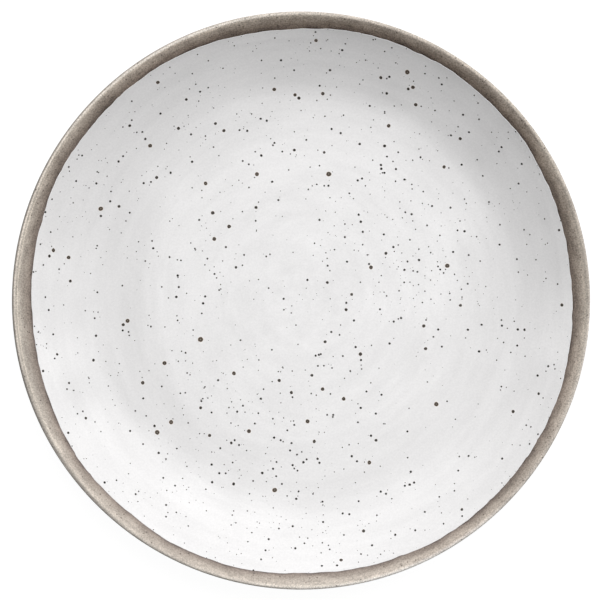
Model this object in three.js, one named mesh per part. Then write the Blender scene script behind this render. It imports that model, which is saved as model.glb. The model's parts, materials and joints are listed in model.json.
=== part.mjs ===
// A coupe salad plate in stoneware. One turned clay body is the floor, the flared wall, the rounded
// lip and the foot ring. White glaze lies on it in three coats: over the eating face, over the outside
// of the wall and inside the foot ring. The lip and the foot stay bare clay between the coats.
// Millimetres, +Z up. The origin is on the table, under the middle of the plate.

import * as THREE from 'three';
import { mergeVertices } from 'three/addons/utils/BufferGeometryUtils.js';

const { clamp, degToRad, lerp } = THREE.MathUtils;

// Clay body
const rimDiameter = 213.4;
const lipThickness = 3.6;
const lipCrest = 0.85;
const lipHeel = 2.3;
const floorThickness = 5;
const recessDepth = 2.4;

// Eating face, from the lip inwards: a steep straight band, a turn up into it, a flared wall, a tighter
// knee, and a ramp down to the flat well. Each slope is where that stretch meets the next one out.
const bandWidth = 4.14;
const turnUpWidth = 3;
const wallWidth = 16.2;
const kneeWidth = 8;
const rampWidth = 19;
const bandSlope = degToRad(40);
const wallSlope = degToRad(28.6);
const kneeSlope = degToRad(20);
const rampSlope = degToRad(6.5);

// Foot ring
const footInset = 42.5;
const footWidth = 5;
const footDraft = degToRad(12);
const footFillet = 1.2;
const footEdge = 0.8;
const roundingShare = 0.47;

// Glaze coats
const faceGlazeThickness = 0.45;
const outsideGlazeThickness = 0.35;
const baseGlazeThickness = 0.35;
const glazeBond = 0.03;
const glazeEdgeRun = 0.9;
const bareRimInside = 5.95;
const bareRimOutside = 7.5;
const bareFootMargin = 1.4;

// A poured glaze line wanders. Each lobe set swings it in and out so many times round the plate.
const insideLobes = [
  { count: 1, swing: 0.4, turn: degToRad(-12) },
  { count: 2, swing: 0.45, turn: degToRad(-163) },
  { count: 4, swing: 0.5, turn: degToRad(-155) },
  { count: 8, swing: 0.22, turn: degToRad(-124) },
];
const outsideLobes = [
  { count: 1, swing: 0.5, turn: degToRad(100) },
  { count: 3, swing: 0.45, turn: degToRad(35) },
  { count: 7, swing: 0.25, turn: degToRad(-60) },
];

// Facets
const turnSteps = 72;
const rampSteps = 3;
const kneeSteps = 4;
const wallSteps = 6;
const crestSteps = 4;
const heelSteps = 3;
const undersideSteps = 6;
const cornerSteps = 2;
const noseSteps = 3;

// Colours
const clayColour = '#b4a89c';
const glazeColour = '#eceae6';

const rimRadius = rimDiameter / 2;
const lipStart = rimRadius - lipCrest * (1 + Math.sin(bandSlope));
const heelStart = rimRadius - lipHeel - (lipThickness - lipHeel) * Math.sin(bandSlope);
const turnUpEnd = lipStart - bandWidth;
const wallEnd = turnUpEnd - turnUpWidth;
const kneeEnd = wallEnd - wallWidth;
const rampEnd = kneeEnd - kneeWidth;
const wellRadius = rampEnd - rampWidth;
const wellHeight = recessDepth + floorThickness;
const footOuter = rimRadius - footInset;
const footInner = footOuter - footWidth;
const footRootOuter = footOuter + recessDepth * Math.tan(footDraft);
const footRootInner = footInner - recessDepth * Math.tan(footDraft);

// An arc from radius and slope to radius and slope has one bend radius, and its rise follows from it.
function arc(from, to) {
  const bend = (to.radius - from.radius) / (Math.sin(to.slope) - Math.sin(from.slope));
  const rise = bend * (Math.cos(from.slope) - Math.cos(to.slope));
  return { ...from, bend, end: to.radius, endHeight: from.height + rise };
}

const ramp = arc(
  { radius: wellRadius, slope: 0, height: wellHeight },
  { radius: rampEnd, slope: rampSlope },
);
const knee = arc(
  { radius: rampEnd, slope: rampSlope, height: ramp.endHeight },
  { radius: kneeEnd, slope: kneeSlope },
);
const wall = arc(
  { radius: kneeEnd, slope: kneeSlope, height: knee.endHeight },
  { radius: wallEnd, slope: wallSlope },
);
const turnUp = arc(
  { radius: wallEnd, slope: wallSlope, height: wall.endHeight },
  { radius: turnUpEnd, slope: bandSlope },
);

// Height and slope of the clay's eating face at a radius. The band at the rim is a straight cone.
function faceAt(radius) {
  if (radius <= wellRadius) {
    return { radius, height: wellHeight, slope: 0 };
  }
  if (radius >= turnUpEnd) {
    const height = turnUp.endHeight + (radius - turnUpEnd) * Math.tan(bandSlope);
    return { radius, height, slope: bandSlope };
  }
  const stretch = [ramp, knee, wall, turnUp].find((each) => radius <= each.end);
  const slope = Math.asin(Math.sin(stretch.slope) + (radius - stretch.radius) / stretch.bend);
  const height = stretch.height + stretch.bend * (Math.cos(stretch.slope) - Math.cos(slope));
  return { radius, height, slope };
}

// A point above the eating face, square to it. A lift below zero goes down into the clay.
function overFace(radius, lift) {
  const { height, slope } = faceAt(radius);
  return new THREE.Vector2(radius - lift * Math.sin(slope), height + lift * Math.cos(slope));
}

// The clay thins steadily from the edge of the well to the heel of the lip.
function clayThickness(radius) {
  const share = (radius - wellRadius) / (heelStart - wellRadius);
  return lerp(floorThickness, lipThickness, clamp(share, 0, 1));
}

// A point under the plate, square below the face at a radius. Drop counts from the clay's underside.
function underFace(radius, drop) {
  return overFace(radius, -clayThickness(radius) - drop);
}

function steps(from, to, count) {
  return Array.from({ length: count }, (_, i) => lerp(from, to, (i + 1) / count));
}

function glazeLine(meanRadius, lobes, angle) {
  const swing = ({ count, swing: size, turn }) => size * Math.cos(count * angle - turn);
  return meanRadius + lobes.reduce((sum, each) => sum + swing(each), 0);
}

function faceGlazeEdge(angle) {
  return glazeLine(rimRadius - bareRimInside, insideLobes, angle);
}

function outsideGlazeEdge(angle) {
  return glazeLine(rimRadius - bareRimOutside, outsideLobes, angle);
}

const outsideGlazeStart = footRootOuter + footFillet + bareFootMargin;
const baseGlazeEdge = footRootInner - footFillet - bareFootMargin;

// Radii shared by the clay's face and the glaze on it, so that the two follow each other facet by facet.
function faceStations(angle) {
  return [
    0,
    wellRadius,
    ...steps(wellRadius, rampEnd, rampSteps),
    ...steps(rampEnd, kneeEnd, kneeSteps),
    ...steps(kneeEnd, faceGlazeEdge(angle) - glazeEdgeRun, wallSteps),
  ];
}

// Radii shared by the clay's underside and the glaze on it, from the foot out.
function undersideStations(angle) {
  const start = outsideGlazeStart + glazeEdgeRun;
  return [start, ...steps(start, outsideGlazeEdge(angle) - glazeEdgeRun, undersideSteps)];
}

// A round from one facing angle to another, where 0 faces straight out and a quarter turn faces up.
function roundPoints(middle, radius, from, to, count) {
  return [from, ...steps(from, to, count)].map((facing) =>
    new THREE.Vector2(Math.cos(facing), Math.sin(facing)).multiplyScalar(radius).add(middle),
  );
}

// The lip in section: a tight round over the crest, an upright side, and a softer round under it.
function lipPoints() {
  const faceNormal = Math.PI / 2 + bandSlope;
  const crestMiddle = overFace(lipStart, -lipCrest);
  const heelMiddle = overFace(heelStart, lipHeel - lipThickness);
  return [
    ...roundPoints(crestMiddle, lipCrest, faceNormal, 0, crestSteps),
    ...roundPoints(heelMiddle, lipHeel, 0, faceNormal - Math.PI, heelSteps),
  ];
}

// A corner eased over a reach along both of its sides. Two roundings on one side don't meet.
function roundedCorner(before, corner, after, reach) {
  const ease = (end) => {
    const side = end.clone().sub(corner);
    const run = Math.min(reach, roundingShare * side.length());
    return corner.clone().add(side.setLength(run));
  };
  return new THREE.QuadraticBezierCurve(ease(before), corner, ease(after)).getPoints(cornerSteps);
}

// The foot ring in section, from the underside of the wall down to the table and up into the recess.
function footPoints() {
  const wallSide = underFace(outsideGlazeStart, 0);
  const rootOuter = underFace(footRootOuter, 0);
  const edgeOuter = new THREE.Vector2(footOuter, 0);
  const edgeInner = new THREE.Vector2(footInner, 0);
  const rootInner = new THREE.Vector2(footRootInner, recessDepth);
  const ceiling = new THREE.Vector2(0, recessDepth);
  return [
    ...roundedCorner(wallSide, rootOuter, edgeOuter, footFillet),
    ...roundedCorner(rootOuter, edgeOuter, edgeInner, footEdge),
    ...roundedCorner(edgeOuter, edgeInner, rootInner, footEdge),
    ...roundedCorner(edgeInner, rootInner, ceiling, footFillet),
    ceiling,
  ];
}

// The section of the clay body: out along the face, over the lip, back underneath and round the foot.
function clayBodySection(angle) {
  const edge = faceGlazeEdge(angle);
  const midBand = (edge + lipStart) / 2;
  const face = [...faceStations(angle), edge, midBand];
  const underside = [outsideGlazeStart, ...undersideStations(angle), outsideGlazeEdge(angle)];
  return [
    ...face.map((radius) => overFace(radius, 0)),
    ...lipPoints(),
    ...underside.reverse().map((radius) => underFace(radius, 0)),
    ...footPoints(),
  ];
}

// The rounded edge of a coat: it thins from full to nothing over the edge run, as a quarter ellipse.
function glazeNose(place, edge, outwards, thickness) {
  return steps(0, Math.PI / 2, noseSteps).map((sweep) => {
    const radius = edge + outwards * glazeEdgeRun * (Math.sin(sweep) - 1);
    return place(radius, glazeBond + thickness * Math.cos(sweep));
  });
}

function faceGlazeSection(angle) {
  const stations = faceStations(angle);
  return [
    ...stations.map((radius) => overFace(radius, glazeBond + faceGlazeThickness)),
    ...glazeNose(overFace, faceGlazeEdge(angle), 1, faceGlazeThickness),
    ...stations.reverse().map((radius) => overFace(radius, glazeBond)),
  ];
}

function outsideGlazeSection(angle) {
  const stations = undersideStations(angle);
  const outerNose = glazeNose(underFace, outsideGlazeEdge(angle), 1, outsideGlazeThickness);
  const footNose = glazeNose(underFace, outsideGlazeStart, -1, outsideGlazeThickness);
  return [
    ...stations.map((radius) => underFace(radius, glazeBond)),
    ...outerNose.reverse(),
    ...stations.reverse().map((radius) => underFace(radius, glazeBond + outsideGlazeThickness)),
    ...footNose,
  ];
}

function baseGlazeSection() {
  const place = (radius, drop) => new THREE.Vector2(radius, recessDepth - drop);
  const full = baseGlazeEdge - glazeEdgeRun;
  return [
    place(0, glazeBond),
    place(full, glazeBond),
    ...glazeNose(place, baseGlazeEdge, 1, baseGlazeThickness).reverse(),
    place(full, glazeBond + baseGlazeThickness),
    place(0, glazeBond + baseGlazeThickness),
  ];
}

// Turn a section round the axis. The section may change with the angle, but not its number of points.
// Points on the axis run together, and the faces that they leave without width are dropped.
function turned(sectionAt) {
  const positions = [];
  for (let turn = 0; turn < turnSteps; turn += 1) {
    const angle = (2 * Math.PI * turn) / turnSteps;
    for (const { x, y } of sectionAt(angle)) {
      positions.push(x * Math.cos(angle), x * Math.sin(angle), y);
    }
  }
  const count = positions.length / (3 * turnSteps);
  const corner = (turn, point) => (turn % turnSteps) * count + (point % count);
  const faces = [];
  for (let turn = 0; turn < turnSteps; turn += 1) {
    for (let point = 0; point < count; point += 1) {
      const here = corner(turn, point);
      const next = corner(turn, point + 1);
      const beside = corner(turn + 1, point);
      const across = corner(turn + 1, point + 1);
      faces.push(here, next, beside, beside, next, across);
    }
  }
  const shell = new THREE.BufferGeometry();
  shell.setAttribute('position', new THREE.Float32BufferAttribute(positions, 3));
  shell.setIndex(faces);
  const merged = mergeVertices(shell);
  const index = merged.getIndex().array;
  const kept = [];
  for (let i = 0; i < index.length; i += 3) {
    const face = [index[i], index[i + 1], index[i + 2]];
    if (new Set(face).size === face.length) {
      kept.push(...face);
    }
  }
  merged.setIndex(kept);
  merged.computeVertexNormals();
  return merged;
}

function piece(name, sectionAt, color, roughness) {
  const material = new THREE.MeshStandardMaterial({ color, roughness, metalness: 0 });
  const mesh = new THREE.Mesh(turned(sectionAt), material);
  mesh.name = name;
  return mesh;
}

const saladPlate = new THREE.Group();
saladPlate.add(
  piece('clay_body', clayBodySection, clayColour, 0.8),
  piece('face_glaze', faceGlazeSection, glazeColour, 0.4),
  piece('outside_glaze', outsideGlazeSection, glazeColour, 0.4),
  piece('base_glaze', baseGlazeSection, glazeColour, 0.4),
);

export default saladPlate;
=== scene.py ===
"""A coupe salad plate in speckled white stoneware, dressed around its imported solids.

The plate is one turned clay body under three poured coats of satin white glaze: over the eating face,
over the outside of the wall and inside the foot ring. The lip and the foot stay bare, toasted clay.
Grains of iron lie in the glaze as dark specks. Sizes are in millimetres until a mesh is made of them.
"""

import json
import logging
import math
from collections.abc import Callable
from dataclasses import dataclass
from enum import Enum
from functools import partial

import bmesh
import bpy
import numpy as np
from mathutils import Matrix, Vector


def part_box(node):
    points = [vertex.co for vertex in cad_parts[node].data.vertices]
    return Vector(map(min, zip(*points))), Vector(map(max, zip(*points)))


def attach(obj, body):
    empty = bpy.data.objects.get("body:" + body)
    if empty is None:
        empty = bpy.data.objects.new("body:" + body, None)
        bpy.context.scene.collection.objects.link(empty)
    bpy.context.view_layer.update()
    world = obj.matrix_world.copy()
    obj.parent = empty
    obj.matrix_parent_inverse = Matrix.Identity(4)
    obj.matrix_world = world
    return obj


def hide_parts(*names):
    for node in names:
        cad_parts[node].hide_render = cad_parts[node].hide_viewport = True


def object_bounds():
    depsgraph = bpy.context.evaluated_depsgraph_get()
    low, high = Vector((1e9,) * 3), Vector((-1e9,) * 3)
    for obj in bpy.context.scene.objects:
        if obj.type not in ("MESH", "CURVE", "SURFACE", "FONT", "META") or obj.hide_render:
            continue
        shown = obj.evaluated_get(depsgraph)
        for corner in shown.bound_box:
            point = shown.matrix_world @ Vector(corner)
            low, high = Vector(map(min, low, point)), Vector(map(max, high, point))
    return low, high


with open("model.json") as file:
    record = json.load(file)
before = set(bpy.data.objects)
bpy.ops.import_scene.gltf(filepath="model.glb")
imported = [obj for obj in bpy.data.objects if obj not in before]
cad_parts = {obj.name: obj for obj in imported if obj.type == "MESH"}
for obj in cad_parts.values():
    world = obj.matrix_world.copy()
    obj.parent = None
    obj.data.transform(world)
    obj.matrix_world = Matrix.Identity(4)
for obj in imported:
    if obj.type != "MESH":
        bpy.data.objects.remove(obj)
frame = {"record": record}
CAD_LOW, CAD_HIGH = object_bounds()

MM = 0.001
SQUARE_CM = 1e-4
TURN = 2 * math.pi
ANGLE_STEPS = 720
ANGLES = TURN * np.arange(ANGLE_STEPS)[:, None] / ANGLE_STEPS
BODY = "root"

Socket = bpy.types.NodeSocket
Adder = Callable[..., Socket]
Numbers = np.ndarray | float

log = logging.getLogger("salad_plate")


class Slot(Enum):
    """Material slots of the record."""

    CLAY = "bare_clay"
    GLAZE = "white_glaze"


class Attribute(Enum):
    """Values that a mesh carries for its material or for a node tree."""

    RUN = "run"
    SQUARE = "square"
    MARKED = "marked"
    BARE = "bare"
    THIN = "thin"
    SIDE = "side"
    WIPED = "wiped"
    RUBBED = "rubbed"
    PALED = "paled"
    SHOWN = "shown"
    GRAIN = "grain"
    LEAN = "lean"
    BLEED = "bleed"
    TONE = "tone"
    WARMTH = "warmth"


class SpeckSize(Enum):
    """Width in millimetres of the specks that are placed one by one, halo included."""

    LARGE = 1.85
    BROAD = 1.5
    MEDIUM = 1.25
    SMALL = 1.05


def linear(colour: str) -> tuple[float, float, float, float]:
    """Turns an sRGB hex colour into linear RGBA.

    Args:
        colour: six hex digits after a hash sign.

    Returns:
        Red, green, blue and alpha for a shader socket.
    """
    parts = [int(colour[i:i + 2], 16) / 255 for i in (1, 3, 5)]
    red, green, blue = [p / 12.92 if p <= 0.04045 else ((p + 0.055) / 1.055) ** 2.4 for p in parts]
    return red, green, blue, 1.0


def add_node(tree: bpy.types.NodeTree, kind: str, inputs: dict | None = None, out: int | str = 0,
             **settings: object) -> Socket | None:
    """Adds a node, sets its properties, and fills or links its inputs.

    Args:
        tree: the tree that gets the node.
        kind: Blender's name of the node type.
        inputs: by the input's name or number, a value, a socket to link from, or a list of sockets.
        out: name or number of the output to hand back.
        settings: node properties by name.

    Returns:
        One output of the new node, or nothing if it has none.
    """
    node = tree.nodes.new(kind)
    for name, value in settings.items():
        setattr(node, name, value)
    for key, value in (inputs or {}).items():
        for source in value if isinstance(value, list) else [value]:
            if isinstance(source, Socket):
                tree.links.new(source, node.inputs[key])
            else:
                node.inputs[key].default_value = source
    return node.outputs[out] if node.outputs else None


def set_stops(ramp: bpy.types.Node, stops: dict[float, str]) -> None:
    """Gives a colour ramp its stops.

    Args:
        ramp: a Color Ramp node.
        stops: hex colours by position.
    """
    elements = ramp.color_ramp.elements
    while len(elements) < len(stops):
        elements.new(1.0)
    for element, (position, colour) in zip(elements, sorted(stops.items())):
        element.position = position
        element.color = linear(colour)


def set_curve(curve: bpy.types.Node, stops: dict[float, float]) -> None:
    """Gives a float curve straight runs between its stops, which may lie above 1.

    Args:
        curve: a Float Curve node.
        stops: values by position.
    """
    mapping = curve.mapping
    mapping.use_clip = False
    points = mapping.curves[0].points
    while len(points) < len(stops):
        points.new(1.0, 1.0)
    for point, (position, value) in zip(points, sorted(stops.items())):
        point.location = (position, value)
        point.handle_type = "VECTOR"
    mapping.update()


def round_place(add: Adder, place: Socket, pitch: float, circle: float) -> tuple[Socket, Socket]:
    """Bends a place round the axis, for a pattern that runs round the plate.

    Args:
        add: adds a node to the material's tree.
        place: a place in metres.
        pitch: width of the pattern's rings in millimetres.
        circle: radius of the circle that the pattern runs round, in widths of the pattern.

    Returns:
        The bent place, and the distance from the axis in metres.
    """
    flat = add("ShaderNodeVectorMath", {0: place, 1: (1, 1, 0)}, operation="MULTIPLY")
    reach = add("ShaderNodeVectorMath", {0: flat}, "Value", operation="LENGTH")
    way = add("ShaderNodeVectorMath", {0: flat}, operation="NORMALIZE")
    rings = add("ShaderNodeMath", {0: reach, 1: pitch * MM}, operation="DIVIDE")
    lifted = add("ShaderNodeCombineXYZ", {"Z": rings})
    bent = add("ShaderNodeVectorMath", {0: way, 1: (circle,) * 3, 2: lifted}, operation="MULTIPLY_ADD")
    return bent, reach


def new_tree(name: str, sockets: dict[str, str]) -> tuple[bpy.types.NodeTree, Adder, dict[str, Socket]]:
    """Starts a geometry tree with named inputs.

    Args:
        name: the tree's name.
        sockets: kinds of socket by input name.

    Returns:
        The tree, what adds a node to it, and its inputs by name.
    """
    tree = bpy.data.node_groups.new(name, "GeometryNodeTree")
    tree.interface.new_socket("Geometry", in_out="OUTPUT", socket_type="NodeSocketGeometry")
    for socket, kind in sockets.items():
        tree.interface.new_socket(socket, in_out="INPUT", socket_type="NodeSocket" + kind)
    add = partial(add_node, tree)
    outputs = add("NodeGroupInput").node.outputs
    return tree, add, {socket: outputs[socket] for socket in sockets}


def end_tree(add: Adder, geometry: Socket, material: Socket) -> None:
    """Ends a geometry tree: real mesh, material, output.

    Args:
        add: adds a node to the tree.
        geometry: what the tree has made.
        material: the material input.
    """
    real = add("GeometryNodeRealizeInstances", {"Geometry": geometry})
    dressed = add("GeometryNodeSetMaterial", {"Geometry": real, "Material": material})
    add("NodeGroupOutput", {0: dressed})


def grown_mesh(carrier: bpy.types.Object, tree: bpy.types.NodeTree, values: dict) -> bpy.types.Mesh:
    """Runs a geometry tree on an object and returns the result as a plain mesh.

    Args:
        carrier: the object whose mesh goes into the tree.
        tree: the geometry tree.
        values: the tree's inputs by name.

    Returns:
        The grown mesh. The carrier keeps its own.
    """
    modifier = carrier.modifiers.new(tree.name, "NODES")
    modifier.node_group = tree
    for item in tree.interface.items_tree:
        if item.in_out == "INPUT" and item.name in values:
            modifier[item.identifier] = values[item.name]
    graph = bpy.context.evaluated_depsgraph_get()
    made = bpy.data.meshes.new_from_object(
        carrier.evaluated_get(graph), preserve_all_data_layers=True, depsgraph=graph)
    carrier.modifiers.remove(modifier)
    return made


def linked_object(name: str, data: bpy.types.ID) -> bpy.types.Object:
    """Links data to the scene as an object at the origin.

    Args:
        name: the object's name.
        data: a mesh, a lamp or a camera.

    Returns:
        The object.
    """
    made = bpy.data.objects.new(name, data)
    bpy.context.scene.collection.objects.link(made)
    return made


def write_values(mesh: bpy.types.Mesh, attribute: Attribute, values: np.ndarray) -> None:
    """Stores one number or vector for each vertex.

    Args:
        mesh: the mesh that carries them.
        attribute: what they are.
        values: one row for each vertex.
    """
    vector = values.ndim > 1
    layer = mesh.attributes.new(attribute.value, "FLOAT_VECTOR" if vector else "FLOAT", "POINT")
    layer.data.foreach_set("vector" if vector else "value", values.astype(np.float32).ravel())


def read_values(mesh: bpy.types.Mesh, attribute: Attribute) -> np.ndarray:
    """Reads back one number for each vertex.

    Args:
        mesh: the mesh that carries them.
        attribute: what they are.

    Returns:
        The numbers.
    """
    values = np.zeros(len(mesh.vertices), np.float32)
    mesh.attributes[attribute.value].data.foreach_get("value", values)
    return values


def vertex_rows(mesh: bpy.types.Mesh, what: str) -> np.ndarray:
    """Reads a vector of each vertex.

    Args:
        mesh: the mesh.
        what: "co" for places in metres, "normal" for normals.

    Returns:
        One row for each vertex.
    """
    rows = np.zeros(len(mesh.vertices) * 3, np.float32)
    mesh.vertices.foreach_get(what, rows)
    return rows.reshape(-1, 3)


def close_shell(mesh: bpy.types.Mesh) -> None:
    """Merges poles and seams, turns the faces outwards and shades them smooth.

    Args:
        mesh: the mesh, in metres.
    """
    merge_reach = 1e-7
    shell = bmesh.new()
    shell.from_mesh(mesh)
    bmesh.ops.remove_doubles(shell, verts=shell.verts, dist=merge_reach)
    bmesh.ops.recalc_face_normals(shell, faces=shell.faces)
    shell.to_mesh(mesh)
    shell.free()
    mesh.shade_smooth()


def turned_mesh(name: str, sections: np.ndarray, ring: bool) -> bpy.types.Mesh:
    """Turns a section that changes with the angle into a closed mesh.

    Args:
        name: the mesh's name.
        sections: radius and height in millimetres, by angle step and point.
        ring: whether the last point joins the first. Otherwise both lie on the axis.

    Returns:
        The mesh, in metres.
    """
    steps, count, _ = sections.shape
    angle = TURN * np.arange(steps)[:, None] / steps
    radius, height = sections[..., 0], sections[..., 1]
    places = np.stack([radius * np.cos(angle), radius * np.sin(angle), height], -1) * MM
    step, point = np.meshgrid(np.arange(steps), np.arange(count if ring else count - 1), indexing="ij")
    beside = (step + 1) % steps * count
    after = (point + 1) % count
    faces = np.stack([step * count + point, step * count + after, beside + after, beside + point], -1)
    mesh = bpy.data.meshes.new(name)
    mesh.from_pydata(places.reshape(-1, 3).tolist(), [], faces.reshape(-1, 4).tolist())
    close_shell(mesh)
    return mesh


def arc(middle: np.ndarray, radius: float, first: float, last: float, steps: int) -> np.ndarray:
    """Points on an arc of a section.

    Args:
        middle: radius and height of the arc's middle.
        radius: the arc's own radius.
        first: direction of the first point, in radians from outwards.
        last: direction of the last point.
        steps: number of points.

    Returns:
        Radius and height of each point.
    """
    facing = np.linspace(first, last, steps)
    return middle + radius * np.stack([np.cos(facing), np.sin(facing)], -1)


@dataclass(frozen=True)
class PlateProfile:
    """The plate in section, in millimetres: flat well, ramp, knee, flared wall, turn and steep band."""

    rim_radius: float
    foot_middle: float
    recess_depth: float
    lip_thickness: float = 3.6
    lip_crest: float = 0.85
    lip_heel: float = 2.3
    floor_thickness: float = 5.0
    band_width: float = 4.2
    turn_up_width: float = 3.0
    wall_width: float = 16.2
    knee_width: float = 8.0
    ramp_width: float = 19.0
    lip_slope: float = math.radians(34.5)
    band_slope: float = math.radians(42)
    wall_slope: float = math.radians(28.6)
    knee_slope: float = math.radians(20)
    ramp_slope: float = math.radians(6.5)
    foot_width: float = 5.0
    foot_draft: float = math.radians(12)
    foot_fillet: float = 1.2
    foot_edge: float = 0.8
    bare_foot_margin: float = 1.4
    most_of_a_side: float = 0.47

    @property
    def lip_start(self) -> float:
        """Radius at which the face meets the round of the lip."""
        return self.rim_radius - self.lip_crest * (1 + math.sin(self.lip_slope))

    @property
    def heel_start(self) -> float:
        """Radius, measured on the face above, at which the lip rounds off underneath."""
        below = self.lip_thickness - self.lip_heel
        return self.rim_radius - self.lip_heel - below * math.sin(self.lip_slope)

    @property
    def well_radius(self) -> float:
        """Radius of the flat well."""
        wall_end = self.lip_start - self.band_width - self.turn_up_width
        return wall_end - self.wall_width - self.knee_width - self.ramp_width

    @property
    def foot_lean(self) -> float:
        """How far each side of the foot ring leans outwards on its way up."""
        return self.recess_depth * math.tan(self.foot_draft)

    @property
    def foot_root(self) -> float:
        """Radius at which the outside of the foot ring meets the underside."""
        return self.foot_middle + self.foot_width / 2 + self.foot_lean

    @property
    def outside_glaze_start(self) -> float:
        """Radius, measured on the face above, at which the outside coat starts."""
        return self.foot_root + self.foot_fillet + self.bare_foot_margin

    def stations(self) -> tuple[list[float], list[float]]:
        """Where the stretches of the face meet.

        Returns:
            Radii, and the sine of the slope at each.
        """
        widths = (self.ramp_width, self.knee_width, self.wall_width, self.turn_up_width,
                  self.band_width)
        slopes = (0, self.ramp_slope, self.knee_slope, self.wall_slope, self.band_slope,
                  self.lip_slope)
        radii = [self.well_radius]
        for width in widths:
            radii.append(radii[-1] + width)
        return radii, [math.sin(slope) for slope in slopes]

    def face(self, radius: Numbers) -> tuple[np.ndarray, Numbers]:
        """Height and slope of the clay's eating face.

        Args:
            radius: distances from the axis.

        Returns:
            Heights, and the sines of the slopes.
        """
        radii, sines = self.stations()
        height = np.full(np.shape(radius), self.recess_depth + self.floor_thickness, float)
        for near, far, flatter, steeper in zip(radii, radii[1:], sines, sines[1:]):
            sine = np.interp(radius, (near, far), (flatter, steeper))
            bend = (far - near) / (steeper - flatter)
            height += bend * (math.sqrt(1 - flatter ** 2) - np.sqrt(1 - sine ** 2))
        return height, np.interp(radius, radii, sines)

    def over(self, radius: Numbers, lift: Numbers) -> np.ndarray:
        """Points square above the eating face.

        Args:
            radius: distances from the axis, on the clay.
            lift: distance above the clay, below zero for a point inside it.

        Returns:
            Radius and height of each point.
        """
        height, sine = self.face(radius)
        return np.stack([radius - lift * sine, height + lift * np.sqrt(1 - sine ** 2)], -1)

    def under(self, radius: Numbers, drop: Numbers) -> np.ndarray:
        """Points square below the underside.

        Args:
            radius: distances from the axis, on the face above.
            drop: distance below the clay, below zero for a point inside it.

        Returns:
            Radius and height of each point.
        """
        ends = (self.well_radius, self.heel_start)
        thickness = np.interp(radius, ends, (self.floor_thickness, self.lip_thickness))
        return self.over(radius, -thickness - drop)

    def crest(self, steps: int) -> np.ndarray:
        """The tight round from the face over the crest to the upright side of the lip."""
        middle = self.over(self.lip_start, -self.lip_crest)
        return arc(middle, self.lip_crest, math.pi / 2 + self.lip_slope, 0, steps)

    def heel(self, steps: int) -> np.ndarray:
        """The softer round from the upright side of the lip to the underside.

        Args:
            steps: number of points.

        Returns:
            Radius and height of each point.
        """
        slope = math.asin(self.face(self.heel_start)[1])
        middle = self.over(self.heel_start, self.lip_heel - self.lip_thickness)
        middle[0] = self.rim_radius - self.lip_heel
        return arc(middle, self.lip_heel, 0, slope - math.pi / 2, steps)

    def foot(self, steps: int) -> np.ndarray:
        """The foot ring, from its outer fillet down to the table and up into the recess.

        Args:
            steps: points in each rounded corner.

        Returns:
            Radius and height of each point.
        """
        half = self.foot_width / 2
        path = [
            self.under(self.outside_glaze_start, 0),
            self.under(self.foot_root, 0),
            np.array([self.foot_middle + half, 0]),
            np.array([self.foot_middle - half, 0]),
            np.array([self.foot_middle - half - self.foot_lean, self.recess_depth]),
            np.array([0, self.recess_depth]),
        ]
        rounds = (self.foot_fillet, self.foot_edge, self.foot_edge, self.foot_fillet)
        share = np.linspace(0, 1, steps)[:, None]
        rounded = []
        # No round takes more than its share of a side, so that neighbours don't meet.
        for before, corner, after, reach in zip(path, path[1:], path[2:], rounds):
            ends = []
            for beside in (before, after):
                part = min(reach / np.linalg.norm(beside - corner), self.most_of_a_side)
                ends.append(corner + (beside - corner) * part)
            rounded.append((1 - share) ** 2 * ends[0] + 2 * share * (1 - share) * corner
                           + share ** 2 * ends[1])
        return np.concatenate(rounded)


@dataclass(frozen=True)
class Lobe:
    """One slow swing of a glaze line: times round the plate, size in millimetres, turn in degrees."""

    count: int
    swing: float
    turn: float


@dataclass(frozen=True)
class GlazeLine:
    """The edge of a poured coat. It wanders slowly, frays finely and has small nicks."""

    mean: float
    lobes: tuple[Lobe, ...]
    seed: int
    fray: float = 0.1
    fray_counts: tuple[int, int] = (9, 128)
    fray_fall: float = 0.8
    nicks: int = 30
    nick_shares: tuple[float, float] = (0.2, 1.0)
    nick_depth: float = 0.18
    nick_width: float = 0.7

    def radius(self, angle: Numbers) -> np.ndarray:
        """Radius of the line at each angle.

        Args:
            angle: radians from +X.

        Returns:
            Radii in millimetres.
        """
        draw = np.random.default_rng(self.seed)
        line = np.full(np.shape(angle), self.mean, float)
        for lobe in self.lobes:
            line += lobe.swing * np.cos(lobe.count * angle - math.radians(lobe.turn))
        counts = np.arange(*self.fray_counts)
        sizes = draw.normal(size=len(counts)) / counts ** self.fray_fall
        sizes *= self.fray * math.sqrt(2) / np.linalg.norm(sizes)
        for count, size, turn in zip(counts, sizes, draw.uniform(0, TURN, len(counts))):
            line += size * np.cos(count * angle - turn)
        places = draw.uniform(0, TURN, self.nicks)
        for place, share in zip(places, draw.uniform(*self.nick_shares, self.nicks)):
            off = (angle - place + math.pi) % TURN - math.pi
            line -= share * self.nick_depth * np.exp(-(off * self.mean / self.nick_width) ** 2)
        return line


@dataclass(frozen=True)
class Mottle:
    """A cloudy pattern: its size in millimetres, how much it changes, its finer layers and their gain."""

    size: float
    amount: float
    layers: float = 2.0
    gain: float = 0.5

    @property
    def scale(self) -> float:
        """Clouds in a metre."""
        return 1 / (self.size * MM)


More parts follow.
